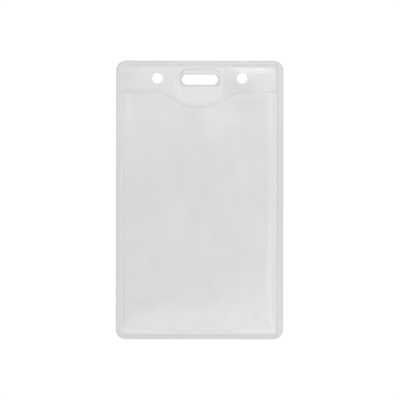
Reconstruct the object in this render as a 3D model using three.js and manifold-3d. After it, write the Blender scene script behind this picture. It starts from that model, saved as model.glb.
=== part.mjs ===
// Clear vinyl badge holder for one upright card, hung from a strap through its slot.
//
// Two clear sheets are heat-welded together around their edge. The front one is cut across near the
// top: below the cut it is the pocket's front, with a thumb notch, and above it the header, whose
// tongue fills the notch. A strap slot and two chain holes are punched through the header, and both
// sheets are fused into one pad around the slot.
//
// Millimetres, +Z up, the front faces -Y. The origin is the middle of the strap slot, and the plane
// y = 0 is where the two sheets meet.

import * as THREE from 'three';
import { mergeVertices } from 'three/addons/utils/BufferGeometryUtils.js';
import Module from 'manifold-3d';

const wasm = await Module();
wasm.setup();

// ---- Driving dimensions ----

const HOLDER = { width: 62.5, height: 104.1, cornerRadius: 3.6 };
const SHEET_THICKNESS = 0.35;

// The welded rim is a little wider on one side, as the punch cut it.
const RIM = { left: 2.05, right: 2.7, top: 1.95, bottom: 2.15, innerRadius: 0.6 };

const SLOT = { width: 13.7, height: 3.75, belowTop: 7.1 };
const CHAIN_HOLE = { diameter: 4.0, spacing: 31.65, aboveSlot: 0.55 };

// The fused pad around the slot: half its width, its top, and the margin it leaves to the notch.
const PAD = { halfWidth: 8.4, top: 4.2, cornerRadius: 3.6, notchMargin: 1.7 };

// The cut across the front sheet. Heights are from the slot's middle. The notch is a round bowl
// between two round shoulders, a hair left of the slot. Beside the shoulders the cut is level and
// runs into the rim.
const NOTCH = { centreX: -0.1, depth: 5.57, bowlRadius: 16, shoulderRadius: 8 };
const POCKET_EDGE = -5.05;
const CUT_WIDTH = 0.3;

// The pocket's front stands this far off the back in the middle, which leaves room for a card.
const POCKET_BULGE = 0.9;

// ---- Places worked out from them ----

const TOP = SLOT.belowTop;
const BOTTOM = TOP - HOLDER.height;
const OUTER = {
  left: -HOLDER.width / 2,
  right: HOLDER.width / 2,
  top: TOP,
  bottom: BOTTOM,
};
const INNER = {
  left: OUTER.left + RIM.left,
  right: OUTER.right - RIM.right,
  top: OUTER.top - RIM.top,
  bottom: OUTER.bottom + RIM.bottom,
};
const BOWL_CENTRE_Z = POCKET_EDGE - NOTCH.depth + NOTCH.bowlRadius;

const ARC_STEPS = 8;
const EDGE_STEPS = 48;

// ---- Outlines, drawn in the plane of the sheets: shape x is part X, shape y is part Z ----

/** A closed rectangle with round corners, counter-clockwise from its lower left corner. */
function roundedRectangle(Outline, box, radius) {
  const outline = new Outline();
  outline.moveTo(box.left + radius, box.bottom);
  outline.absarc(box.right - radius, box.bottom + radius, radius, -Math.PI / 2, 0);
  outline.absarc(box.right - radius, box.top - radius, radius, 0, Math.PI / 2);
  outline.absarc(box.left + radius, box.top - radius, radius, Math.PI / 2, Math.PI);
  outline.absarc(box.left + radius, box.bottom + radius, radius, Math.PI, Math.PI * 1.5);
  outline.closePath();
  return outline;
}

/** The strap slot: a rectangle with half-round ends. */
function slotOutline() {
  const half = { x: SLOT.width / 2, z: SLOT.height / 2 };
  const box = { left: -half.x, right: half.x, top: half.z, bottom: -half.z };
  return roundedRectangle(THREE.Path, box, half.z);
}

/** One chain hole; side is -1 for the left one and 1 for the right one. */
function chainHole(side) {
  const hole = new THREE.Path();
  hole.absarc(side * CHAIN_HOLE.spacing / 2, CHAIN_HOLE.aboveSlot, CHAIN_HOLE.diameter / 2, 0, Math.PI * 2);
  return hole;
}

/** The fused pad: round corners above, and below it an arc that runs parallel to the notch. */
function padOutline(Outline) {
  const { halfWidth, top, cornerRadius } = PAD;
  const arcRadius = NOTCH.bowlRadius - PAD.notchMargin;
  const angleAt = (x) => -Math.acos((x - NOTCH.centreX) / arcRadius);
  const outline = new Outline();
  outline.moveTo(halfWidth, top - cornerRadius);
  outline.absarc(halfWidth - cornerRadius, top - cornerRadius, cornerRadius, 0, Math.PI / 2);
  outline.absarc(-halfWidth + cornerRadius, top - cornerRadius, cornerRadius, Math.PI / 2, Math.PI);
  outline.absarc(NOTCH.centreX, BOWL_CENTRE_Z, arcRadius, angleAt(-halfWidth), angleAt(halfWidth));
  outline.closePath();
  return outline;
}

/**
 * The height at x of the curve that runs parallel to the pocket's cut edge, this far above it:
 * level, then a round shoulder on each side that runs tangentially into the round bowl.
 */
function parallelEdgeAt(x, above) {
  const level = POCKET_EDGE + above;
  const bowlRadius = NOTCH.bowlRadius - above;
  const shoulderRadius = NOTCH.shoulderRadius + above;
  const reach = bowlRadius + shoulderRadius;
  const rise = BOWL_CENTRE_Z - level + shoulderRadius;
  const shoulderX = Math.sqrt(reach ** 2 - rise ** 2);
  const meetX = shoulderX * bowlRadius / reach;
  const fromCentre = Math.abs(x - NOTCH.centreX);
  if (fromCentre <= meetX) {
    return BOWL_CENTRE_Z - Math.sqrt(bowlRadius ** 2 - fromCentre ** 2);
  }
  if (fromCentre <= shoulderX) {
    return level - shoulderRadius + Math.sqrt(shoulderRadius ** 2 - (shoulderX - fromCentre) ** 2);
  }
  return level;
}

/** The header's outline: the cut edge with its tongue below, and the rim's inner round corners above. */
function headerOutline() {
  const radius = RIM.innerRadius;
  const outline = new THREE.Shape();
  outline.moveTo(INNER.left, parallelEdgeAt(INNER.left, CUT_WIDTH));
  for (let step = 1; step <= EDGE_STEPS; step += 1) {
    const x = INNER.left + (INNER.right - INNER.left) * step / EDGE_STEPS;
    outline.lineTo(x, parallelEdgeAt(x, CUT_WIDTH));
  }
  outline.absarc(INNER.right - radius, INNER.top - radius, radius, 0, Math.PI / 2);
  outline.absarc(INNER.left + radius, INNER.top - radius, radius, Math.PI / 2, Math.PI);
  outline.closePath();
  return outline;
}

// ---- Solids ----

/** A flat plate of the given outline, from y = front to y = back. */
function plate(outline, front, back) {
  const geometry = new THREE.ExtrudeGeometry(outline, {
    depth: back - front,
    bevelEnabled: false,
    curveSegments: ARC_STEPS,
  });
  geometry.rotateX(Math.PI / 2);
  geometry.translate(0, back, 0);
  return geometry;
}

/** A copy of the geometry with only positions, its shared vertices merged. */
function welded(geometry) {
  const copy = geometry.clone();
  copy.deleteAttribute('normal');
  copy.deleteAttribute('uv');
  return mergeVertices(copy, 1e-4);
}

/** The part of one closed geometry that lies inside another. */
function intersection(geometry, cutter) {
  const [solid, tool] = [geometry, cutter].map((shape) => {
    const merged = welded(shape);
    return new wasm.Manifold(new wasm.Mesh({
      numProp: 3,
      vertProperties: merged.attributes.position.array,
      triVerts: new Uint32Array(merged.index.array),
    }));
  });
  const mesh = solid.intersect(tool).getMesh();
  const result = new THREE.BufferGeometry();
  result.setAttribute('position', new THREE.BufferAttribute(mesh.vertProperties, 3));
  result.setIndex(new THREE.BufferAttribute(mesh.triVerts, 1));
  result.computeVertexNormals();
  return result;
}

/** How far the pocket's front stands off the back: none at the rim, all of it in the middle. */
function bulgeAt(x, z) {
  const across = (2 * x - INNER.left - INNER.right) / (INNER.right - INNER.left);
  const up = (z - INNER.bottom) / (POCKET_EDGE - INNER.bottom);
  const fromSides = Math.max(0, 1 - Math.abs(across) ** 6);
  const fromBottom = 1 - Math.max(0, 1 - up) ** 8;
  return POCKET_BULGE * fromSides * Math.max(0, fromBottom);
}

/** The pocket's front: a box of many cells, fitted under the notched edge and bulged forwards. */
function pocketFront() {
  const columns = 40;
  const rows = 24;
  const geometry = new THREE.BoxGeometry(1, 1, 1, columns, 1, rows);
  const position = geometry.attributes.position;
  for (let index = 0; index < position.count; index += 1) {
    const x = THREE.MathUtils.lerp(INNER.left, INNER.right, position.getX(index) + 0.5);
    const z = THREE.MathUtils.lerp(INNER.bottom, parallelEdgeAt(x, 0), position.getZ(index) + 0.5);
    const y = (position.getY(index) - 0.5) * SHEET_THICKNESS - bulgeAt(x, z);
    position.setXYZ(index, x, y, z);
  }
  const reach = SHEET_THICKNESS + 2 * POCKET_BULGE;
  const pocket = plate(roundedRectangle(THREE.Shape, INNER, RIM.innerRadius), -reach, reach);
  return intersection(geometry, pocket);
}

/** The back: one flat sheet inside the rim, open where the pad and the chain holes are. */
function backSheet() {
  const outline = roundedRectangle(THREE.Shape, INNER, RIM.innerRadius);
  outline.holes.push(padOutline(THREE.Path), chainHole(-1), chainHole(1));
  return plate(outline, 0, SHEET_THICKNESS);
}

/** The header: the front sheet above the cut, open where the pad and the chain holes are. */
function headerSheet() {
  const outline = headerOutline();
  outline.holes.push(padOutline(THREE.Path), chainHole(-1), chainHole(1));
  return plate(outline, -SHEET_THICKNESS, 0);
}

/** The rim, where both sheets are fused all the way around. */
function perimeterWeld() {
  const outline = roundedRectangle(THREE.Shape, OUTER, HOLDER.cornerRadius);
  outline.holes.push(roundedRectangle(THREE.Path, INNER, RIM.innerRadius));
  return plate(outline, -SHEET_THICKNESS, SHEET_THICKNESS);
}

/** The fused pad with the strap slot punched through it. */
function slotWeld() {
  const outline = padOutline(THREE.Shape);
  outline.holes.push(slotOutline());
  return plate(outline, -SHEET_THICKNESS, SHEET_THICKNESS);
}

// ---- Assembly ----

/** Clear vinyl of a given shade, as see-through as opacity says. */
function clearVinyl(color, opacity) {
  return new THREE.MeshStandardMaterial({ color, opacity, transparent: true, roughness: 0.22, metalness: 0 });
}

const sheetVinyl = clearVinyl(0xdfe0e0, 0.3);
const weldVinyl = clearVinyl(0xd2d4d5, 0.45);

const pieces = [
  ['back_sheet', backSheet(), sheetVinyl],
  ['front_sheet', pocketFront(), sheetVinyl],
  ['header_sheet', headerSheet(), sheetVinyl],
  ['perimeter_weld', perimeterWeld(), weldVinyl],
  ['slot_weld', slotWeld(), weldVinyl],
];

const badgeHolder = new THREE.Group();
for (const [name, geometry, material] of pieces) {
  const mesh = new THREE.Mesh(geometry, material);
  mesh.name = name;
  badgeHolder.add(mesh);
}

export default badgeHolder;
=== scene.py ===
"""Clear vinyl badge holder for one upright card, seen straight on against white.

The holder is two clear sheets fused around the rim and around the strap slot. The front sheet is cut
across below the slot: above the cut it is the header with its tongue, below it the pocket's front.
Every visible piece is a thin closed shell whose height over the plan is worked out as whole arrays,
and every clear surface shares one family of finishes: haze, gloss, cut edges and pressed seams.
"""

import logging
import math
from dataclasses import dataclass, field
from enum import Enum
from typing import Any, Callable

import bpy
import numpy as np
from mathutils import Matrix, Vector
from mathutils.geometry import delaunay_2d_cdt


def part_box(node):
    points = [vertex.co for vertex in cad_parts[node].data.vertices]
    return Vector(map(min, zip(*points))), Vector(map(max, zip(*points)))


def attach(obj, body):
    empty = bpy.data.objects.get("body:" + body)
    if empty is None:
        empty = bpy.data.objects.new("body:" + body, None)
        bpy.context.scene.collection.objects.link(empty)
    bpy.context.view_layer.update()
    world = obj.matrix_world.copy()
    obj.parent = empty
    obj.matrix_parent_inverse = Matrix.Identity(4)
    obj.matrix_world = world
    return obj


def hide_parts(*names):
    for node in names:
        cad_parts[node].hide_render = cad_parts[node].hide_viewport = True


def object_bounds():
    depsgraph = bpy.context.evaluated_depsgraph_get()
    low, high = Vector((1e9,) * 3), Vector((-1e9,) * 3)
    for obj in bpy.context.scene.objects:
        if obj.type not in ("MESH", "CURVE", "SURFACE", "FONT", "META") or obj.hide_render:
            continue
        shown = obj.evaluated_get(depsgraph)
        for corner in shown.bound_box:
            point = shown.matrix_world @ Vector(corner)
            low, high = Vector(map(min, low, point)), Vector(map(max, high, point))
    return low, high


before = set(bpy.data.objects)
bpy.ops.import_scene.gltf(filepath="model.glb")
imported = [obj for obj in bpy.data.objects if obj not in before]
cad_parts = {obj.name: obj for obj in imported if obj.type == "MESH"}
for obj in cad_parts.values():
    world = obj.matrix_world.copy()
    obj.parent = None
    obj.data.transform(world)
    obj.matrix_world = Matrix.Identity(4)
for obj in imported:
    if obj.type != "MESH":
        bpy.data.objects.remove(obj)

LOG = logging.getLogger("badge_holder")
MM = 0.001
CAD_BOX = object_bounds()

Array = np.ndarray
Height = Callable[[Array, Array], Array]


# ---- Shader maths ----


class Value:
    """A shader socket that can be used in Python arithmetic; each operator adds one Math node."""

    def __init__(self, graph: "Graph", socket: bpy.types.NodeSocket | None) -> None:
        """Wraps an output socket of a node in graph."""
        self.graph = graph
        self.socket = socket

    def _math(self, operation: str, first: Any, second: Any, clamp: bool = False) -> "Value":
        """Adds a Math node.

        Args:
            operation: The node's operation.
            first: Its first value or socket.
            second: Its second value or socket.
            clamp: Whether the result is held between 0 and 1.

        Returns:
            The node's result.
        """
        settings = {"operation": operation, "use_clamp": clamp}
        return self.graph.add("ShaderNodeMath", settings, {0: first, 1: second})

    def __add__(self, other: Any) -> "Value":
        """self + other."""
        return self._math("ADD", self, other)

    __radd__ = __add__

    def __sub__(self, other: Any) -> "Value":
        """self - other."""
        return self._math("SUBTRACT", self, other)

    def __rsub__(self, other: Any) -> "Value":
        """other - self."""
        return self._math("SUBTRACT", other, self)

    def __mul__(self, other: Any) -> "Value":
        """self * other."""
        return self._math("MULTIPLY", self, other)

    __rmul__ = __mul__

    def __pow__(self, other: Any) -> "Value":
        """self to the power of other."""
        return self._math("POWER", self, other)

    def clamped(self) -> "Value":
        """self held between 0 and 1."""
        return self._math("MULTIPLY", self, 1.0, clamp=True)


class Graph:
    """The node tree of one material or world, filled by adding nodes in order."""

    def __init__(self, tree: bpy.types.NodeTree) -> None:
        """Empties tree and keeps it."""
        self.tree = tree
        tree.nodes.clear()

    def add(self, kind: str, settings: dict[str, Any], inputs: dict[Any, Any], output: int = 0) -> Value:
        """Adds one node.

        Args:
            kind: The node's type.
            settings: Its own properties, set first.
            inputs: A number, colour or Value for each input socket, by name or index.
            output: Which output to give back.

        Returns:
            That output, or an empty one for a node that ends the tree.
        """
        node = self.tree.nodes.new(kind)
        for name, value in settings.items():
            setattr(node, name, value)
        for name, value in inputs.items():
            if isinstance(value, Value):
                self.tree.links.new(value.socket, node.inputs[name])
            else:
                node.inputs[name].default_value = value
        return Value(self, node.outputs[output] if len(node.outputs) else None)

    def own_coordinates(self) -> Value:
        """The piece's own coordinates, in metres."""
        return self.add("ShaderNodeTexCoord", {}, {}, output=3)

    def attribute(self, name: str) -> Value:
        """A number that the mesh holds at each vertex."""
        return self.add("ShaderNodeAttribute", {"attribute_name": name}, {}, output=2)

    def noise(self, place: Value, stretch: tuple[float, float, float], detail: float) -> Value:
        """Smooth noise between 0 and 1.

        Args:
            place: Where to read it.
            stretch: Features per metre along X, Y and Z.
            detail: How many finer layers it has.

        Returns:
            The noise.
        """
        scaled = self.add("ShaderNodeMapping", {}, {"Vector": place, "Scale": stretch})
        return self.add("ShaderNodeTexNoise", {}, {"Vector": scaled, "Scale": 1.0, "Detail": detail})

    def mix_shaders(self, factor: Value | float, first: Value, second: Value) -> Value:
        """first where factor is 0, second where it is 1."""
        return self.add("ShaderNodeMixShader", {}, {0: factor, 1: first, 2: second})


# ---- Finishes ----

# What a mesh holds at each vertex: how much greyer the vinyl is there, and how full it is, from 0 where
# it tapers to nothing in a weld to 1.
GREY = "grey"
FILL = "fill"

# The patterns' features per metre along X, Y and Z, and the depth of the fine unevenness.
CLOUDS = (55.0, 55.0, 40.0)
STREAKS = (900.0, 40.0, 22.0)
MOTTLE = (170.0, 170.0, 170.0)
SPECKS = (420.0, 420.0, 420.0)
PEEL = (260.0, 260.0, 200.0)
PEEL_DEPTH = 0.04 * MM
VINYL_IOR = 1.52
WHITE = (1.0, 1.0, 1.0, 1.0)


@dataclass(frozen=True)
class ClearVinyl:
    """Soft clear vinyl: see-through with a faint haze, glossy, greyer where the mesh says so.

    haze, cloud and dust are shares of light from 0 to 1 at each of a sheet's two faces, tone is the
    colour of the haze, and peel the strength of the surface's fine unevenness.
    """

    name: str
    haze: float
    cloud: float = 0.012
    dust: float = 0.02
    tone: tuple[float, float, float] = (0.30, 0.303, 0.306)
    roughness: float = 0.13
    peel: float = 0.12

    def material(self) -> bpy.types.Material:
        """Builds the material.

        Alpha is haze, plus slow clouds, mottling, fine upright streaks, specks of dust, and the
        mesh's own grey, all of it times the mesh's fill. Over it lies a mirror whose share is 4% face
        on and rises with the fifth power of how edge-on the face is, times the fill squared.

        Returns:
            The material.
        """
        material = bpy.data.materials.new(self.name)
        material.use_nodes = True
        graph = Graph(material.node_tree)
        place = graph.own_coordinates()
        clouds = graph.noise(place, CLOUDS, detail=3.0)
        streaks = graph.noise(place, STREAKS, detail=2.0)
        mottle = graph.noise(place, MOTTLE, detail=1.0)
        specks = graph.noise(place, SPECKS, detail=3.0)
        fill = graph.attribute(FILL)
        dust = ((specks - 0.70) * 6.0).clamped()
        alpha = self.haze + (clouds + mottle * 0.7 + streaks * 0.3 - 1.0) * self.cloud
        alpha = ((alpha + graph.attribute(GREY) + dust * self.dust) * fill).clamped()
        rough = (self.roughness + (clouds - 0.5) * 0.08).clamped()
        peel = graph.noise(place, PEEL, detail=2.0)
        bump = graph.add(
            "ShaderNodeBump", {}, {"Strength": self.peel, "Distance": PEEL_DEPTH, "Height": peel}
        )
        look = {"Base Color": (*self.tone, 1.0), "Roughness": rough, "IOR": VINYL_IOR}
        body = graph.add("ShaderNodeBsdfPrincipled", {}, {**look, "Alpha": alpha, "Normal": bump})
        gloss = graph.add(
            "ShaderNodeBsdfAnisotropic", {}, {"Color": WHITE, "Roughness": rough, "Normal": bump}
        )
        facing = graph.add("ShaderNodeLayerWeight", {}, {"Blend": 0.5, "Normal": bump}, output=1)
        mirror = (0.04 + facing ** 5.0 * 0.6) * fill * fill
        graph.add("ShaderNodeOutputMaterial", {}, {"Surface": graph.mix_shaders(mirror, body, gloss)})
        return material


SHEET = ClearVinyl("clear_sheet", haze=0.093, cloud=0.02)
HEADER = ClearVinyl("clear_header", haze=0.105, roughness=0.075)
WELD = ClearVinyl("clear_weld", haze=0.21)
PAD = ClearVinyl("clear_pad", haze=0.168)


# ---- Plan of the holder: outlines in the plane of the sheets, and distances from them ----

BATCH = 2000
SAME_POINT = 1e-9
PAD_POINTS = 240
PAD_HOLE_POINTS = 140


@dataclass(frozen=True)
class Box:
    """A rectangle in the plane of the sheets, in metres."""

    left: float
    right: float
    bottom: float
    top: float

    @staticmethod
    def of_node(node: str) -> "Box":
        """The front view of a CAD node's box."""
        low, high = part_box(node)
        return Box(low[0], high[0], low[2], high[2])


def arc(centre: tuple[float, float], radius: float, start: float, end: float, steps: int) -> Array:
    """Points of an arc, centre + radius * (cos, sin), without its last one."""
    turn = np.linspace(start, end, steps, endpoint=False)
    return np.column_stack([centre[0] + radius * np.cos(turn), centre[1] + radius * np.sin(turn)])


def resampled(loop: Array, count: int) -> Array:
    """Spaces a closed loop's points evenly.

    Args:
        loop: The loop.
        count: How many points to make.

    Returns:
        Points at equal steps along the loop, counted from its first point.
    """
    closed = np.vstack([loop, loop[:1]])
    along = np.concatenate([[0.0], np.cumsum(np.linalg.norm(np.diff(closed, axis=0), axis=1))])
    wanted = np.linspace(0.0, along[-1], count, endpoint=False)
    return np.column_stack([np.interp(wanted, along, closed[:, axis]) for axis in range(2)])


def inset(loop: Array, distance: float) -> Array:
    """Moves a loop inwards: each point goes along the normal of its neighbours.

    Args:
        loop: A counter-clockwise loop.
        distance: How far; a negative one moves it outwards.

    Returns:
        The moved loop, point for point.
    """
    tangent = np.roll(loop, -1, axis=0) - np.roll(loop, 1, axis=0)
    tangent /= np.linalg.norm(tangent, axis=1)[:, None]
    return loop + distance * np.column_stack([-tangent[:, 1], tangent[:, 0]])


def rounded_rectangle(box: Box, radius: float, steps: int = 10, side_steps: int = 40) -> Array:
    """Draws four arcs joined by divided sides.

    Args:
        box: The rectangle.
        radius: Its corners' radius.
        steps: How many points each arc has.
        side_steps: How many points each side has.

    Returns:
        A counter-clockwise loop from the lower right corner.
    """
    corners = [
        ((box.right - radius, box.bottom + radius), -math.pi / 2),
        ((box.right - radius, box.top - radius), 0.0),
        ((box.left + radius, box.top - radius), math.pi / 2),
        ((box.left + radius, box.bottom + radius), math.pi),
    ]
    pieces = []
    for index, (centre, start) in enumerate(corners):
        turned = start + math.pi / 2
        pieces.append(arc(centre, radius, start, turned, steps))
        after, after_start = corners[(index + 1) % len(corners)]
        begin = np.array(centre) + radius * np.array([math.cos(turned), math.sin(turned)])
        end = np.array(after) + radius * np.array([math.cos(after_start), math.sin(after_start)])
        share = np.linspace(0.0, 1.0, side_steps, endpoint=False)[:, None]
        pieces.append(begin + (end - begin) * share)
    return np.vstack(pieces)


def circle(centre: tuple[float, float], radius: float, steps: int = 64) -> Array:
    """A counter-clockwise circle."""
    return arc(centre, radius, 0.0, 2 * math.pi, steps)


def distance_to_loop(points: Array, loop: Array) -> Array:
    """Finds how far points are from a closed loop, a batch of points at a time.

    Args:
        points: The points.
        loop: The loop.

    Returns:
        Each point's distance to the nearest segment.
    """
    start, end = loop, np.roll(loop, -1, axis=0)
    step = end - start
    length = np.maximum((step**2).sum(1), 1e-18)
    best = np.full(len(points), np.inf)
    for first in range(0, len(points), BATCH):
        part = points[first : first + BATCH]
        away = part[:, None, :] - start[None]
        share = np.clip((away * step[None]).sum(2) / length[None], 0.0, 1.0)
        gap = away - share[:, :, None] * step[None]
        best[first : first + BATCH] = np.sqrt((gap**2).sum(2).min(1))
    return best


def inside(points: Array, loop: Array) -> Array:
    """Tests points against a closed loop, by the parity of the crossings to their right.

    Args:
        points: The points.
        loop: The loop.

    Returns:
        Whether each point is inside.
    """
    x, z = points[:, 0][:, None], points[:, 1][:, None]
    x0, z0 = loop[:, 0][None], loop[:, 1][None]
    x1, z1 = np.roll(loop[:, 0], -1)[None], np.roll(loop[:, 1], -1)[None]
    spans = (z0 > z) != (z1 > z)
    with np.errstate(divide="ignore", invalid="ignore"):
        crossing = x0 + (z - z0) / (z1 - z0) * (x1 - x0)
    return (spans & (x < crossing)).sum(1) % 2 == 1


@dataclass(frozen=True)
class Cut:
    """The cut across the front sheet: level, with a round bowl between two round shoulders."""

    centre_x: float = -0.1 * MM
    level: float = -5.05 * MM
    depth: float = 5.57 * MM
    bowl: float = 16.0 * MM
    shoulder: float = 8.0 * MM
    left_rise: float = -0.1 * MM
    right_rise: float = 0.7 * MM
    rise_length: float = 8.0 * MM
    tilt: float = 0.003

    @property
    def bowl_z(self) -> float:
        """The height of the bowl's centre."""
        return self.level - self.depth + self.bowl

    def edge(self, x: Array, above: float, sides: Box) -> Array:
        """The height of the parallel curve that lies above the cut.

        The bowl is a circle, the shoulders are circles tangent to it and to the level stretch, and
        towards the rim the level stretch rises or sinks by a smooth step. All of it drops by
        tilt * x.

        Args:
            x: Where to read it.
            above: The distance from the cut.
            sides: The box that the sheet fills, for the rise at its ends.

        Returns:
            The height at each x.
        """
        level, bowl, shoulder = self.level + above, self.bowl - above, self.shoulder + above
        reach = bowl + shoulder
        shoulder_x = math.sqrt(reach**2 - (self.bowl_z - level + shoulder) ** 2)
        meet_x = shoulder_x * bowl / reach
        off = np.abs(x - self.centre_x)
        in_bowl = self.bowl_z - np.sqrt(np.maximum(bowl**2 - off**2, 0.0))
        on_shoulder = level - shoulder + np.sqrt(np.maximum(shoulder**2 - (shoulder_x - off) ** 2, 0.0))
        to_rim = np.clip(np.minimum(x - sides.left, sides.right - x) / self.rise_length, 0.0, 1.0)
        rise = np.where(x < self.centre_x, self.left_rise, self.right_rise)
        risen = level + rise * (1 - to_rim**2 * (3 - 2 * to_rim))
        even = np.where(off <= meet_x, in_bowl, np.where(off <= shoulder_x, on_shoulder, risen))
        return even - self.tilt * x


@dataclass(frozen=True)
class Plan:
    """Every outline of the holder, in metres, in the plane of the sheets."""

    outer: Box
    inner: Box
    pad: Box
    sheet: float
    cut: Cut = field(default_factory=Cut)
    outer_radius: float = 3.6 * MM
    inner_radius: float = 0.6 * MM
    slot_width: float = 13.74 * MM
    slot_height: float = 3.75 * MM
    hole_radius: float = 2.0 * MM
    hole_x: float = 31.65 / 2 * MM
    hole_z: float = 0.55 * MM
    pad_corner: float = 3.6 * MM
    pad_margin: float = 1.7 * MM
    cut_width: float = 0.05 * MM
    seam_offset: float = 1.5 * MM

    @staticmethod
    def from_frame() -> "Plan":
        """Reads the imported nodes.

        Returns:
            The plan whose boxes and sheet thickness are theirs.
        """
        low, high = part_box("back_sheet")
        return Plan(
            outer=Box.of_node("perimeter_weld"),
            inner=Box.of_node("back_sheet"),
            pad=Box.of_node("slot_weld"),
            sheet=high[1] - low[1],
        )

    def rim_outer(self) -> Array:
        """The holder's outline."""
        return rounded_rectangle(self.outer, self.outer_radius)

    def rim_inner(self) -> Array:
        """The rim's inner outline."""
        return rounded_rectangle(self.inner, self.inner_radius)

    def slot(self) -> Array:
        """Draws the strap slot, a rectangle with half-round ends.

        Returns:
            The loop, from the middle of its lower side.
        """
        half = self.slot_width / 2 - self.slot_height / 2
        radius = self.slot_height / 2
        right = arc((half, 0.0), radius, -math.pi / 2, math.pi / 2, 24)
        left = arc((-half, 0.0), radius, math.pi / 2, math.pi * 1.5, 24)
        return np.vstack([[[0.0, -radius]], right, left, [[-half, -radius]]])

    def pad_outline(self) -> Array:
        """Draws the fused pad: an arc below, round corners above.

        The corners below are rounded by averaging the loop over a short way along it.

        Returns:
            The loop, from the middle of its lower side.
        """
        half, top, corner = self.pad.right, self.pad.top, self.pad_corner
        radius = self.cut.bowl - self.pad_margin
        centre = (self.cut.centre_x, self.cut.bowl_z)
        right = -math.acos((half - centre[0]) / radius)
        left = -math.acos((-half - centre[0]) / radius)
        middle = -math.acos(-centre[0] / radius)
        corners = np.vstack(
            [
                arc(centre, radius, middle, right, 16),
                arc((half - corner, top - corner), corner, 0.0, math.pi / 2, 16),
                arc((-half + corner, top - corner), corner, math.pi / 2, math.pi, 16),
                arc(centre, radius, left - 2 * math.pi, middle - 2 * math.pi, 16),
            ]
        )
        loop = resampled(corners, PAD_POINTS)
        reach = np.arange(-14, 15)
        weight = hump(reach, 8.0)
        return sum(w * np.roll(loop, int(k), axis=0) for k, w in zip(reach, weight / weight.sum()))

    def chain_holes(self) -> list[Array]:
        """The two chain holes."""
        return [circle((side * self.hole_x, self.hole_z), self.hole_radius) for side in (-1, 1)]


# ---- Meshes ----


def outward(vertices: Array, faces: Array) -> Array:
    """Makes a closed mesh's faces point outwards, by the sign of its volume.

    Args:
        vertices: Its vertices.
        faces: Its triangles or quads.

    Returns:
        The faces, turned round if the volume is negative.
    """
    corner = vertices[faces[:, :3]]
    volume = np.einsum("ij,ij->", corner[:, 0], np.cross(corner[:, 1], corner[:, 2]))
    if faces.shape[1] == 4:
        other = vertices[faces[:, [0, 2, 3]]]
        volume += np.einsum("ij,ij->", other[:, 0], np.cross(other[:, 1], other[:, 2]))
    return faces if volume > 0 else faces[:, ::-1]


def make_piece(
    name: str, vertices: Array, faces: Array, numbers: dict[str, Array], material: bpy.types.Material
) -> bpy.types.Object:
    """Makes one smooth object from arrays.

    Args:
        name: The object's name.
        vertices: Its vertices, in metres.
        faces: Vertex indices, one row per face.
        numbers: A value at each vertex for each attribute's name.
        material: Its finish.

    Returns:
        The object, at the origin, unturned.
    """
    faces = outward(vertices, faces)
    mesh = bpy.data.meshes.new(name)
    mesh.vertices.add(len(vertices))
    mesh.vertices.foreach_set("co", vertices.astype(np.float32).ravel())
    mesh.loops.add(faces.size)
    mesh.loops.foreach_set("vertex_index", faces.astype(np.int32).ravel())
    mesh.polygons.add(len(faces))
    mesh.polygons.foreach_set("loop_start", np.arange(len(faces), dtype=np.int32) * faces.shape[1])
    mesh.update(calc_edges=True)
    mesh.polygons.foreach_set("use_smooth", np.ones(len(faces), dtype=bool))
    for label, values in numbers.items():
        mesh.attributes.new(label, "FLOAT", "POINT").data.foreach_set("value", values.astype(np.float32))
    mesh.validate()
    mesh.materials.append(material)
    piece = bpy.data.objects.new(name, mesh)
    bpy.context.scene.collection.objects.link(piece)
    return piece


def loft(loops: Array) -> tuple[Array, Array]:
    """A closed tube through closed loops, the last joined to the first.

    Args:
        loops: Points of shape (loops, points around, 3).

    Returns:
        The vertices and the quads.
    """
    rows, around = loops.shape[:2]
    row, column = np.meshgrid(np.arange(rows), np.arange(around), indexing="ij")
    next_row, next_column = (row + 1) % rows, (column + 1) % around
    corners = [(row, column), (row, next_column), (next_row, next_column), (next_row, column)]
    quads = np.stack([down * around + along for down, along in corners], axis=-1)
    return loops.reshape(-1, 3), quads.reshape(-1, 4)


def hexagonal_points(box: Box, pitch: float) -> Array:
    """Fills a box with staggered rows of points.

    Args:
        box: The box.
        pitch: The distance between neighbours.

    Returns:
        The points.
    """
    x, z = np.meshgrid(
        np.arange(box.left, box.right, pitch), np.arange(box.bottom, box.top, pitch * math.sqrt(3) / 2)
    )
    x = x + np.where(np.arange(x.shape[0]) % 2, pitch / 2, 0.0)[:, None]
    return np.column_stack([x.ravel(), z.ravel()])


def smooth_step(value: Array, start: float, end: float) -> Array:
    """0 up to start, 1 from end on, and 3 t^2 - 2 t^3 in between."""
    share = np.clip((value - start) / (end - start), 0.0, 1.0)
    return share**2 * (3 - 2 * share)


def hump(value: Array, width: float) -> Array:
    """1 at 0, falling off on both sides as exp(-(value / width)^2)."""
    return np.exp(-((value / width) ** 2))


def there_and_back(line: Array) -> Array:
    """An open line as a closed loop of no area."""
    return np.vstack([line, line[::-1]])


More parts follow.
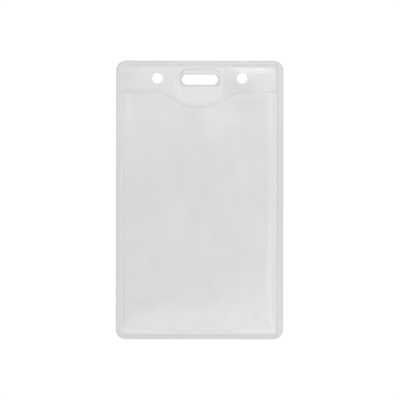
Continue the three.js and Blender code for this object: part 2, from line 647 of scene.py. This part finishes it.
@dataclass
class Sheet:
    """A thin closed sheet over a plan: round along its cut edges, tapered where it meets a weld.

    cuts are the loops with a round edge, tucks those with a taper and how far it reaches, and lines
    extra rows of points. rows says how far beside each outline its rows lie, in millimetres, spare
    how far the filling points stay clear of a row, as a share of their pitch, and at_border how near
    to an outline a point counts as on it.
    """

    outline: Array
    holes: list[Array]
    cuts: list[Array]
    tucks: list[tuple[Array, float]]
    thickness: float
    middle: Height
    lines: list[Array] = field(default_factory=list)
    edge_radius: float = 0.07 * MM
    pitch: float = 0.8 * MM
    rows: tuple[float, ...] = (0.0, 0.01, 0.035, 0.07, 0.16, 0.32, 0.6, 1.0)
    spare: float = 0.3
    at_border: float = 0.001 * MM

    def _points(self) -> tuple[Array, list[tuple[int, int]]]:
        """The plan's points: rows along each outline and line, then a staggered fill.

        Returns:
            The points, and the pairs of them that are the rows' edges.
        """
        parts, edges = [], []
        total = 0
        for index, loop in enumerate([self.outline, *self.holes]):
            inwards = 1.0 if index == 0 else -1.0
            for step in self.rows:
                parts.append(inset(loop, inwards * step * MM))
                count = len(loop)
                edges += [(total + k, total + (k + 1) % count) for k in range(count)]
                total += count
        for line in self.lines:
            parts.append(line)
            edges += [(total + k, total + k + 1) for k in range(len(line) - 1)]
            total += len(line)
        box = Box(*(f(self.outline[:, axis]) for axis in (0, 1) for f in (np.min, np.max)))
        fill = hexagonal_points(box, self.pitch)
        clear = self.rows[-1] * MM + self.spare * self.pitch
        keep = inside(fill, self.outline) & (distance_to_loop(fill, self.outline) > clear)
        for hole in self.holes:
            keep &= ~inside(fill, hole) & (distance_to_loop(fill, hole) > clear)
        for line in self.lines:
            keep &= distance_to_loop(fill, there_and_back(line)) > self.spare * self.pitch
        parts.append(fill[keep])
        return np.vstack(parts), edges

    def _shares(self, places: Array) -> tuple[Array, Array]:
        """Works out how thick the sheet is.

        Along a cut it is sqrt(1 - (1 - d / radius)^2) at a distance d, along a weld a smooth step.

        Args:
            places: Where, in the plan.

        Returns:
            The share of the full thickness, and the part of it that is due to the tapers.
        """
        taper = np.ones(len(places))
        for loop, reach in self.tucks:
            taper = np.minimum(taper, smooth_step(distance_to_loop(places, loop), 0.0, reach))
        share = taper.copy()
        for loop in self.cuts:
            inwards = np.clip(distance_to_loop(places, loop) / self.edge_radius, 0.0, 1.0)
            share = np.minimum(share, np.sqrt(1 - (1 - inwards) ** 2))
        loops = [self.outline, *self.holes]
        border = np.minimum.reduce([distance_to_loop(places, loop) for loop in loops])
        share[border < self.at_border] = 0.0
        return share, taper

    def build(self) -> tuple[Array, Array, Array, Array]:
        """Builds the sheet.

        Returns:
            The vertices, the triangles, each vertex's place in the plan, and its fill.
        """
        points, edges = self._points()
        out = delaunay_2d_cdt([Vector(p) for p in points.tolist()], edges, [], 0, SAME_POINT)
        flat = np.array([v[:] for v in out[0]])
        share, taper = self._shares(flat)
        triangles = np.array(out[2])
        centre = flat[triangles].mean(1)
        keep = inside(centre, self.outline)
        for hole in self.holes:
            keep &= ~inside(centre, hole)
        triangles = triangles[keep]
        middle = self.middle(flat[:, 0], flat[:, 1])
        half = share * self.thickness / 2
        front = np.column_stack([flat[:, 0], middle - half, flat[:, 1]])
        back = np.column_stack([flat[:, 0], middle + half, flat[:, 1]])
        own = share > 0.0
        behind = np.arange(len(flat))
        behind[own] = len(flat) + np.arange(int(own.sum()))
        vertices = np.vstack([front, back[own]])
        faces = np.vstack([triangles, behind[triangles][:, ::-1]])
        used, inverse = np.unique(faces, return_inverse=True)
        plan = np.vstack([flat, flat[own]])[used]
        fill = np.concatenate([taper, taper[own]])[used]
        return vertices[used], inverse.reshape(faces.shape), plan, fill


def ripples(seed: int, size: float, wavelengths: tuple[float, float], count: int = 14) -> Height:
    """A gentle unevenness: a sum of plane waves with seeded directions, lengths and phases.

    Args:
        seed: Fixes the waves.
        size: The height that they add up to, roughly, in metres.
        wavelengths: The shortest and the longest, in metres.
        count: How many there are.

    Returns:
        The height as a function of place.
    """
    draw = np.random.default_rng(seed)
    turn = draw.uniform(0, math.pi, count)
    length = np.exp(draw.uniform(math.log(wavelengths[0]), math.log(wavelengths[1]), count))
    phase = draw.uniform(0, 2 * math.pi, count)
    weight = size * length / length.sum()

    def height(x: Array, z: Array) -> Array:
        """The summed waves at each place."""
        along = np.multiply.outer(x, np.cos(turn)) + np.multiply.outer(z, np.sin(turn))
        return (weight * np.sin(2 * math.pi * along / length + phase)).sum(-1)

    return height


# ---- The holder's pieces ----

# The share of its plain solid's thickness that a sheet has, and how far it stays off the plane
# between the two sheets.
SHEET_SHARE = 0.94
APART = 0.01 * MM
CUT_POINTS = 150
SEAM_POINTS = 130


@dataclass(frozen=True)
class Patch:
    """A soft milky or clear patch of a sheet: its middle and radii in millimetres, and its grey."""

    x: float
    z: float
    radius_x: float
    radius_z: float
    grey: float

    def at(self, x: Array, z: Array) -> Array:
        """The patch's grey at each place: grey * exp(-(dx / radius_x)^2 - (dz / radius_z)^2)."""
        return self.grey * hump(x / MM - self.x, self.radius_x) * hump(z / MM - self.z, self.radius_z)


POCKET_PATCHES = (
    Patch(7.6, -15.0, 6.0, 5.5, -0.022),
    Patch(-2.5, -14.0, 4.5, 5.0, 0.018),
    Patch(16.5, -8.0, 7.5, 4.5, 0.040),
    Patch(-21.0, -7.0, 9.0, 3.2, 0.028),
    Patch(-22.4, -45.0, 9.0, 12.0, 0.012),
    Patch(-11.0, -50.0, 6.0, 9.0, -0.014),
    Patch(16.5, -37.5, 8.0, 20.0, -0.012),
    Patch(22.0, -60.0, 5.0, 12.0, -0.018),
    Patch(16.5, -77.8, 7.0, 7.0, -0.018),
    Patch(-20.5, -84.5, 6.0, 3.5, 0.022),
    Patch(20.0, -92.0, 12.0, 3.0, -0.012),
    Patch(22.3, -88.2, 0.9, 0.7, 0.036),
    Patch(20.8, -89.2, 0.9, 0.7, 0.036),
    Patch(-27.9, -5.8, 1.5, 0.6, -0.030),
)
HEADER_PATCHES = (
    Patch(-29.0, 0.7, 5.0, 4.5, 0.050),
    Patch(-15.0, 4.2, 11.0, 1.3, -0.024),
    Patch(16.5, -2.0, 7.0, 2.6, 0.035),
    Patch(10.8, -1.6, 4.5, 3.5, 0.020),
    Patch(24.0, -2.0, 5.0, 3.6, -0.020),
    Patch(-29.1, -4.5, 0.6, 0.4, 0.070),
    Patch(-27.65, -4.2, 0.5, 0.4, 0.020),
)


@dataclass
class VinylPiece:
    """What every piece of the holder has: the plan it follows, and how it joins the frame.

    tuck and pad_tuck are how far sheets and welds overlap on each side of the rim's and the pad's
    weld line.
    """

    plan: Plan
    node: str
    name: str
    finish: ClearVinyl
    tuck: float = 0.3 * MM
    pad_tuck: float = 0.8 * MM

    def join(self, piece: bpy.types.Object, slot: str) -> bpy.types.Object:
        """Puts a piece on the holder's one body, in place of its plain solid.

        Args:
            piece: The piece.
            slot: The record's material slot.

        Returns:
            The piece.
        """
        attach(piece, "root")
        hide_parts(self.node)
        LOG.info("%s: %d faces", piece.name, len(piece.data.polygons))
        return piece

    def finish_sheet(self, sheet: Sheet, grey: Height) -> bpy.types.Object:
        """Builds a sheet and joins it to the frame.

        Args:
            sheet: Its shape.
            grey: How much greyer it is at each place.

        Returns:
            The piece.
        """
        vertices, faces, flat, fill = sheet.build()
        numbers = {GREY: grey(flat[:, 0], flat[:, 1]), FILL: fill}
        piece = make_piece(self.name, vertices, faces, numbers, self.finish.material())
        return self.join(piece, "sheet_vinyl")

    def pad_hole(self) -> Array:
        """The opening that a sheet leaves for the pad, a little smaller than the pad."""
        return inset(resampled(self.plan.pad_outline(), PAD_HOLE_POINTS), self.pad_tuck)

    def cut_strength(self, x: Array) -> Array:
        """How strongly the cut shows: less in the bowl and on the level stretches, more at its ends.

        Args:
            x: Where along it.

        Returns:
            The strength, 1 on the shoulders.
        """
        level = smooth_step(np.abs(x - self.plan.cut.centre_x), 12 * MM, 16 * MM)
        bowl = 0.22 * hump(x - 1 * MM, 6 * MM) + 0.35 * hump(x - 8.5 * MM, 2.5 * MM)
        left = x - self.plan.inner.left
        ends = 1.2 * hump(left - 0.05 * MM, 0.4 * MM) - 0.55 * hump(left - 2.0 * MM, 1.5 * MM)
        ends = ends + 1.2 * hump(x - self.plan.inner.right + 0.6 * MM, 1.2 * MM)
        return 1 - bowl - 0.35 * level - 0.3 * smooth_step(x, 20 * MM, 23 * MM) + ends

    def cut_line(self, x: Array, away: Array) -> Array:
        """The grey line along the cut: 0.042 * cut_strength at the cut, less at a distance away."""
        return 0.042 * hump(away, 0.33 * MM) * self.cut_strength(x)


class BackSheet(VinylPiece):
    """The whole back: one nearly flat sheet inside the rim, open where the pad and the holes are."""

    def build(self) -> bpy.types.Object:
        """Builds the sheet.

        Returns:
            The piece.
        """
        plan = self.plan
        waves = ripples(seed=11, size=0.10 * MM, wavelengths=(14 * MM, 60 * MM))
        outline = inset(plan.rim_inner(), -self.tuck)
        pad = self.pad_hole()
        holes = plan.chain_holes()
        sheet = Sheet(
            outline=outline,
            holes=[pad, *holes],
            cuts=holes,
            tucks=[(outline, 2 * self.tuck), (pad, 2 * self.pad_tuck)],
            thickness=plan.sheet * SHEET_SHARE,
            middle=lambda x, z: plan.sheet / 2 + APART + 0.25 * waves(x, z),
        )
        return self.finish_sheet(sheet, lambda x, z: np.zeros_like(x))


@dataclass
class PocketFront(VinylPiece):
    """The pocket's front: it stands off the back in the middle and comes down to it at the rim."""

    bulge: float = 0.85 * MM

    def stand_off(self, x: Array, z: Array) -> Array:
        """How far the sheet stands off: bulge * (1 - |across|^16) * (1 - (1 - up)^24).

        Args:
            x: Where across.
            z: Where up.

        Returns:
            The distance from its place at the rim.
        """
        inner = self.plan.inner
        across = (2 * x - inner.left - inner.right) / (inner.right - inner.left)
        up = (z - inner.bottom) / (self.plan.cut.level - inner.bottom)
        from_sides = np.clip(1 - np.abs(across) ** 16, 0, 1)
        from_bottom = np.clip(1 - np.clip(1 - up, 0, 1) ** 24, 0, 1)
        return self.bulge * from_sides * from_bottom

    def middle(self, x: Array, z: Array) -> Array:
        """The sheet's middle surface: the stand-off, and ripples where it is free.

        Args:
            x: Where across.
            z: Where up.

        Returns:
            The surface's y.
        """
        waves = ripples(seed=23, size=0.35 * MM, wavelengths=(12 * MM, 70 * MM))
        off = self.stand_off(x, z)
        return -self.plan.sheet / 2 - APART - off + waves(x, z) * 0.5 * off / self.bulge

    def grey(self, x: Array, z: Array) -> Array:
        """The cut edge's line, a clear line above the bottom weld, a dark one by the left, patches.

        Args:
            x: Where across.
            z: Where up.

        Returns:
            The grey at each place.
        """
        inner = self.plan.inner
        line = self.cut_line(x, self.plan.cut.edge(x, 0.0, inner) - z)
        low = smooth_step(-z, 60 * MM, 75 * MM)
        side = (0.018 + 0.02 * low) * hump(x - inner.left - 0.6 * MM, 0.3 * MM)
        ends = smooth_step(np.abs(x + 1 * MM), 10 * MM, 18 * MM)
        bottom = -0.045 * hump(z - inner.bottom - 1.0 * MM, 0.6 * MM) * ends
        return line + side + bottom + sum(patch.at(x, z) for patch in POCKET_PATCHES)

    def build(self) -> bpy.types.Object:
        """Builds the sheet.

        Returns:
            The piece.
        """
        plan = self.plan
        inner = plan.inner
        sides = Box(inner.left - self.tuck, inner.right + self.tuck, inner.bottom - self.tuck, inner.top)
        loop = rounded_rectangle(sides, plan.inner_radius)
        lower = loop[loop[:, 1] < plan.cut.level - 1.0 * MM]
        x = np.linspace(sides.right, sides.left, CUT_POINTS)
        top = np.column_stack([x, plan.cut.edge(x, 0.0, inner)])
        start = int(np.argmin(np.hypot(lower[:, 0] - sides.left, lower[:, 1] - plan.cut.level)))
        lower = np.roll(lower, -start, axis=0)
        sheet = Sheet(
            outline=np.vstack([lower, top]),
            holes=[],
            cuts=[there_and_back(top)],
            tucks=[(there_and_back(np.vstack([top[-1:], lower, top[:1]])), 2 * self.tuck)],
            thickness=plan.sheet * SHEET_SHARE,
            middle=self.middle,
        )
        return self.finish_sheet(sheet, self.grey)


class Header(VinylPiece):
    """The front sheet above the cut, with the tongue that fills the thumb notch."""

    def lean(self, x: Array, z: Array) -> Array:
        """How far the upper right leans back: it gets steeper towards the top, up to 0.02."""
        height = self.plan.inner.top
        return 0.02 * np.clip(z, 0.0, None) ** 2 / (2 * height) * smooth_step(x, 8 * MM, 17 * MM)

    def strip_strength(self, x: Array) -> Array:
        """How dark the pressed strip above the cut is: mostly along the level stretches.

        Args:
            x: Where along it.

        Returns:
            The strength.
        """
        off = np.abs(x - self.plan.cut.centre_x)
        level = 0.12 + 0.88 * smooth_step(off, 13 * MM, 16 * MM)
        left_end = smooth_step(x - self.plan.inner.left, 0.2 * MM, 1.4 * MM)
        left_end = left_end * (1 + 0.35 * smooth_step(-x, 22 * MM, 26 * MM))
        return level * left_end * (1 - 0.85 * smooth_step(x, 20 * MM, 23 * MM))

    def grey(self, x: Array, z: Array) -> Array:
        """The cut edge's line, the pressed strip above it with its seam, the top's border, patches.

        Args:
            x: Where across.
            z: Where up.

        Returns:
            The grey at each place.
        """
        plan = self.plan
        cut = z - plan.cut.edge(x, plan.cut_width, plan.inner)
        seam = z - plan.cut.edge(x, plan.seam_offset, plan.inner)
        strip = smooth_step(-seam, -0.25 * MM, 0.2 * MM)
        line = self.cut_line(x, cut)
        pressed = (0.024 * strip + 0.020 * hump(seam, 0.3 * MM)) * self.strip_strength(x)
        down = plan.inner.top - z
        right = smooth_step(x, 8 * MM, 17 * MM)
        border = (0.03 + 0.05 * right) * hump(down - (0.2 + 0.2 * right) * MM, 0.3 * MM)
        border = border * (1 - hump(x, 9 * MM))
        return line + pressed + border + sum(patch.at(x, z) for patch in HEADER_PATCHES)

    def build(self) -> bpy.types.Object:
        """Builds the sheet.

        Returns:
            The piece.
        """
        plan = self.plan
        inner = plan.inner
        waves = ripples(seed=37, size=0.22 * MM, wavelengths=(10 * MM, 45 * MM))
        sides = Box(inner.left - self.tuck, inner.right + self.tuck, inner.bottom, inner.top + self.tuck)
        loop = rounded_rectangle(sides, plan.inner_radius)
        upper = loop[loop[:, 1] > plan.cut.level + 2.0 * MM]
        start = int(np.argmin(np.hypot(upper[:, 0] - sides.right, upper[:, 1] - plan.cut.level)))
        upper = np.roll(upper, -start, axis=0)
        x = np.linspace(sides.left, sides.right, CUT_POINTS)
        lower = np.column_stack([x, plan.cut.edge(x, plan.cut_width, inner)])
        within = np.linspace(inner.left, inner.right, SEAM_POINTS)
        seam_rows = [
            np.column_stack([within, plan.cut.edge(within, plan.seam_offset + away * MM, inner)])
            for away in (-0.2, 0.0, 0.2, 0.45, 0.8)
        ]
        pad = self.pad_hole()
        holes = plan.chain_holes()
        sheet = Sheet(
            outline=np.vstack([lower, upper]),
            holes=[pad, *holes],
            cuts=[there_and_back(lower), *holes],
            tucks=[
                (pad, 2 * self.pad_tuck),
                (there_and_back(np.vstack([lower[-1:], upper, lower[:1]])), 2 * self.tuck),
            ],
            thickness=plan.sheet * SHEET_SHARE,
            middle=lambda px, pz: self.lean(px, pz) + 0.1 * waves(px, pz) - plan.sheet / 2 - APART,
            lines=seam_rows,
        )
        return self.finish_sheet(sheet, self.grey)


@dataclass
class FusedBand(VinylPiece):
    """A zone where both sheets are fused: a cross-section carried around between two outlines."""

    def loops(self) -> tuple[Array, Array]:
        """Where the band's surface starts, inside the sheets, and the cut, point for point."""
        raise NotImplementedError

    def reach(self) -> float:
        """How far on each side of the weld line the band takes over from the sheets."""
        raise NotImplementedError

    def section(self) -> Array:
        """The cross-section from the sheets to the cut: share of the way, and half thickness."""
        raise NotImplementedError

    def grey(self, x: Array, z: Array, from_seam: Array, from_cut: Array) -> Array:
        """The grey at each place, from its distances to the seam and to the cut."""
        raise NotImplementedError

    def build(self) -> bpy.types.Object:
        """Builds the band: its front from the sheets to the cut, then its back, closed.

        Returns:
            The piece.
        """
        start, end = self.loops()
        section = self.section()
        share, half = section[:, 0], section[:, 1] * self.plan.sheet
        across = np.concatenate([share, share[-2:0:-1]])
        depth = np.concatenate([-half, half[-2:0:-1]])
        flat = start[None] + (end - start)[None] * across[:, None, None]
        deep = np.broadcast_to(depth[:, None, None], (*flat.shape[:2], 1))
        vertices, faces = loft(np.concatenate([flat[..., :1], deep, flat[..., 1:]], axis=-1))
        reach = self.reach()
        places = flat.reshape(-1, 2)
        from_start = distance_to_loop(places, start)
        grey = self.grey(places[:, 0], places[:, 1], from_start - reach, distance_to_loop(places, end))
        numbers = {GREY: grey, FILL: smooth_step(from_start, 0.0, 2 * reach)}
        piece = make_piece(self.name, vertices, faces, numbers, self.finish.material())
        return self.join(piece, "weld_vinyl")


class RimWeld(FusedBand):
    """The rim, fused and die cut all the way around."""

    def loops(self) -> tuple[Array, Array]:
        """The rim's inner outline, a little inside the weld line, and the holder's outline."""
        return inset(self.plan.rim_inner(), self.tuck), self.plan.rim_outer()

    def section(self) -> Array:
        """A taper, a low bead along the weld line, a pressed land, and a round cut edge.

        Returns:
            The cross-section, as FusedBand.section says.
        """
        taper = [(0.00, 0.00), (0.03, 0.08), (0.07, 0.30), (0.12, 0.62), (0.17, 0.86)]
        bead = [(0.22, 1.00), (0.29, 1.08), (0.37, 1.04), (0.45, 0.90)]
        land = [(0.54, 0.82), (0.70, 0.82), (0.82, 0.88), (0.90, 0.92)]
        edge = [(0.955, 0.84), (0.985, 0.58), (1.00, 0.00)]
        return np.array(taper + bead + land + edge)

    def reach(self) -> float:
        """The sheets' overlap."""
        return self.tuck

    def grey(self, x: Array, z: Array, from_seam: Array, from_cut: Array) -> Array:
        """A dark band beside the weld line and a dark cut edge, pressed unevenly around the rim.

        With (nx, nz) the way outwards, the band's strength is 0.76 + 0.52 nx - 0.18 nz + 0.2 nz^2,
        its distance from the weld line is 0.64 - 0.48 nz - 0.1 nz^2 millimetres, and the cut's
        strength is 0.72 - 0.35 nx + 0.18 nz. Both fade above the slot, the cut is stronger at the
        lower right, and the lower rim and the sides of the header are greyer.

        Args:
            x: Where across.
            z: Where up.
            from_seam: How far from the weld line.
            from_cut: How far from the cut.

        Returns:
            The grey at each place.
        """
        outer, width = self.plan.outer, 2.2 * MM
        nx = hump(x - outer.right, width) - hump(x - outer.left, width)
        nz = hump(z - outer.top, width) - hump(z - outer.bottom, width)
        band = (0.76 + 0.52 * nx - 0.18 * nz + 0.2 * nz**2) * (1 - 0.8 * hump(x, 9 * MM) * (nz > 0))
        band = band * (1 - 0.65 * smooth_step(nx, 0.0, 1.0) * smooth_step(-z, 60 * MM, 75 * MM))
        right = smooth_step(x, 6 * MM, 18 * MM)
        above_slot = (nz > 0) * hump(x + 1 * MM, 9 * MM)
        lower_right = (nz < 0) * hump(x - 14 * MM, 13 * MM)
        cut = (0.72 - 0.35 * nx + 0.18 * nz) * (1 - 0.55 * above_slot + 0.45 * lower_right)
        place = (0.64 - 0.48 * nz - 0.10 * nz**2) * MM
        beside_header = smooth_step(z, -16 * MM, -4 * MM)
        shade = 0.015 * smooth_step(-nz, 0.0, 0.8) * (1 - right)
        shade = shade + 0.022 * (1 - 0.4 * nx) * nx**2 * beside_header
        beside_seam = 0.06 * hump(from_seam - place, 0.38 * MM) * band
        along_cut = 0.10 * hump(from_cut, 0.40 * MM) * cut
        return beside_seam + shade + along_cut


class SlotPad(FusedBand):
    """The pad around the strap slot, cut on its inside by the slot."""

    def loops(self) -> tuple[Array, Array]:
        """The pad's outline and the slot, point for point from the middle of their lower sides."""
        pad = resampled(self.plan.pad_outline(), PAD_POINTS)
        return inset(pad, -self.pad_tuck), resampled(self.plan.slot(), PAD_POINTS)

    def section(self) -> Array:
        """A taper, a flat land, and a rounded lip along the slot.

        Returns:
            The cross-section, as FusedBand.section says.
        """
        taper = [(0.00, 0.00), (0.04, 0.10), (0.09, 0.38), (0.15, 0.72), (0.22, 0.90)]
        land = [(0.32, 0.95), (0.55, 0.95), (0.72, 0.97)]
        lip = [(0.84, 1.05), (0.90, 1.06), (0.95, 0.97), (0.985, 0.66), (1.00, 0.00)]
        return np.array(taper + land + lip)

    def reach(self) -> float:
        """The sheets' overlap."""
        return self.pad_tuck

    def grey(self, x: Array, z: Array, from_seam: Array, from_cut: Array) -> Array:
        """A dark line along the slot's ends and lower side, a faint ring, and a greyer top.

        Args:
            x: Where across.
            z: Where up.
            from_seam: How far from the pad's outline.
            from_cut: How far from the slot.

        Returns:
            The grey at each place.
        """
        end = smooth_step(np.abs(x), 5.0 * MM, 7.2 * MM)
        low = smooth_step(-z, 0.0, 2.0 * MM)
        lip = 0.13 * hump(from_cut, 0.45 * MM) * np.clip(0.25 + 0.75 * end, 0.0, 1.0)
        wide = 0.065 * hump(from_cut, 1.2 * MM) * end + 0.045 * hump(from_cut, 0.8 * MM) * low
        ring = (0.09 - 0.0035 * x / MM) * hump(from_seam - 0.25 * MM, 0.3 * MM)
        ring = ring * smooth_step(z, 0.0, 3.2 * MM)
        return lip + wide + ring + 0.02 * smooth_step(z, 1.0 * MM, 2.6 * MM)


# ---- Studio ----


class Facing(Enum):
    """Which way a soft box shines, as a rotation that turns its light from -Z to that way."""

    BACKWARDS = (math.pi / 2, 0.0, 0.0)
    DOWNWARDS = (0.0, 0.0, 0.0)


@dataclass(frozen=True)
class SoftBox:
    """A rectangular light of even brightness."""

    name: str
    centre: tuple[float, float, float]
    size: tuple[float, float]
    brightness: float
    facing: Facing = Facing.BACKWARDS
    roll: float = 0.0

    def place(self) -> None:
        """Adds the light; its power is brightness * pi * area, in watts."""
        light = bpy.data.lights.new(self.name, "AREA")
        light.shape = "RECTANGLE"
        light.size, light.size_y = self.size
        light.energy = self.brightness * math.pi * self.size[0] * self.size[1]
        lamp = bpy.data.objects.new(self.name, light)
        lamp.location = self.centre
        lamp.rotation_euler = self.facing.value
        lamp.rotation_euler.rotate_axis("Z", self.roll)
        lamp.visible_camera = False
        bpy.context.scene.collection.objects.link(lamp)


@dataclass(frozen=True)
class Studio:
    """White surroundings, a pale floor well below, soft boxes behind the camera, and the camera."""

    lens_mm: float = 100.0
    view_height: float = 149.5 * MM
    camera_x: float = 0.12 * MM
    camera_roll: float = -0.0015
    floor_drop: float = 150 * MM
    floor_radius: float = 0.62
    floor_steps: int = 96
    surroundings: float = 0.42
    backdrop: float = 1.02

    def _world(self) -> None:
        """White where the camera looks, an even grey for light and reflections."""
        world = bpy.data.worlds.new("white_room")
        bpy.context.scene.world = world
        world.use_nodes = True
        graph = Graph(world.node_tree)
        seen = graph.add("ShaderNodeLightPath", {}, {}, output=0)
        room = graph.add("ShaderNodeBackground", {}, {"Color": WHITE, "Strength": self.surroundings})
        white = graph.add("ShaderNodeBackground", {}, {"Color": WHITE, "Strength": self.backdrop})
        surface = graph.mix_shaders(seen, room, white)
        graph.add("ShaderNodeOutputWorld", {}, {"Surface": surface})

    def _floor(self) -> None:
        """A pale round floor that fades into the white at its rim."""
        rim = circle((0.0, 0.0), self.floor_radius, self.floor_steps)
        heights = np.full(self.floor_steps, CAD_BOX[0][2] - self.floor_drop)
        mesh = bpy.data.meshes.new("floor")
        points = np.column_stack([rim, heights])
        mesh.from_pydata(points.tolist(), [], [list(range(self.floor_steps))])
        floor = bpy.data.objects.new("floor", mesh)
        bpy.context.scene.collection.objects.link(floor)
        material = bpy.data.materials.new("pale_floor")
        material.use_nodes = True
        graph = Graph(material.node_tree)
        place = graph.own_coordinates()
        flat = (1 / self.floor_radius, 1 / self.floor_radius, 0.0)
        ring = graph.add("ShaderNodeMapping", {}, {"Vector": place, "Scale": flat})
        out = graph.add("ShaderNodeVectorMath", {"operation": "LENGTH"}, {0: ring}, output=1)
        paint = graph.add("ShaderNodeBsdfDiffuse", {}, {"Color": (0.86, 0.86, 0.86, 1.0)})
        glow = graph.add("ShaderNodeEmission", {}, {"Color": WHITE, "Strength": self.backdrop})
        share = (0.45 + (out ** 2.0) * 0.55).clamped()
        graph.add("ShaderNodeOutputMaterial", {}, {"Surface": graph.mix_shaders(share, paint, glow)})
        mesh.materials.append(material)

    def _camera(self) -> None:
        """Straight on, far enough away that the view is view_height tall at the holder."""
        data = bpy.data.cameras.new("camera")
        data.lens = self.lens_mm
        data.sensor_width = 36.0
        away = self.view_height / 2 / (data.sensor_width / 2 / self.lens_mm)
        low, high = CAD_BOX
        camera = bpy.data.objects.new("camera", data)
        camera.location = (self.camera_x, -away, (low[2] + high[2]) / 2)
        camera.rotation_euler = (math.pi / 2, self.camera_roll, 0.0)
        bpy.context.scene.collection.objects.link(camera)
        bpy.context.scene.camera = camera

    def build(self) -> None:
        """Builds the studio."""
        bpy.context.scene.view_settings.view_transform = "Standard"
        bpy.context.scene.cycles.transparent_max_bounces = 32
        self._world()
        self._floor()
        self._camera()
        lights = [
            SoftBox("low_box", (0.0, -0.80, -0.335), (0.9, 0.30), 0.62, roll=math.radians(16)),
            SoftBox("side_box", (0.82, -0.79, -0.045), (1.20, 0.5), 0.57),
            SoftBox("high_box", (0.0, -0.80, 0.19), (0.9, 0.30), 0.60),
            SoftBox("glint_box", (0.061, -0.78, 0.192), (0.044, 0.17), 2.1),
            SoftBox("key_box", (-0.5, -0.5, 0.7), (0.6, 0.6), 0.9, facing=Facing.DOWNWARDS),
        ]
        for light in lights:
            light.place()


# ---- The whole ----


def main() -> None:
    """Builds the studio, then the holder's pieces from back to front."""
    logging.basicConfig(level=logging.INFO, format="%(message)s")
    Studio().build()
    plan = Plan.from_frame()
    pieces = [
        BackSheet(plan, "back_sheet", "back_vinyl", SHEET),
        PocketFront(plan, "front_sheet", "pocket_vinyl", SHEET),
        Header(plan, "header_sheet", "header_vinyl", HEADER),
        RimWeld(plan, "perimeter_weld", "rim_vinyl", WELD),
        SlotPad(plan, "slot_weld", "pad_vinyl", PAD),
    ]
    for piece in pieces:
        piece.build()


if __name__ == "__main__":
    main()
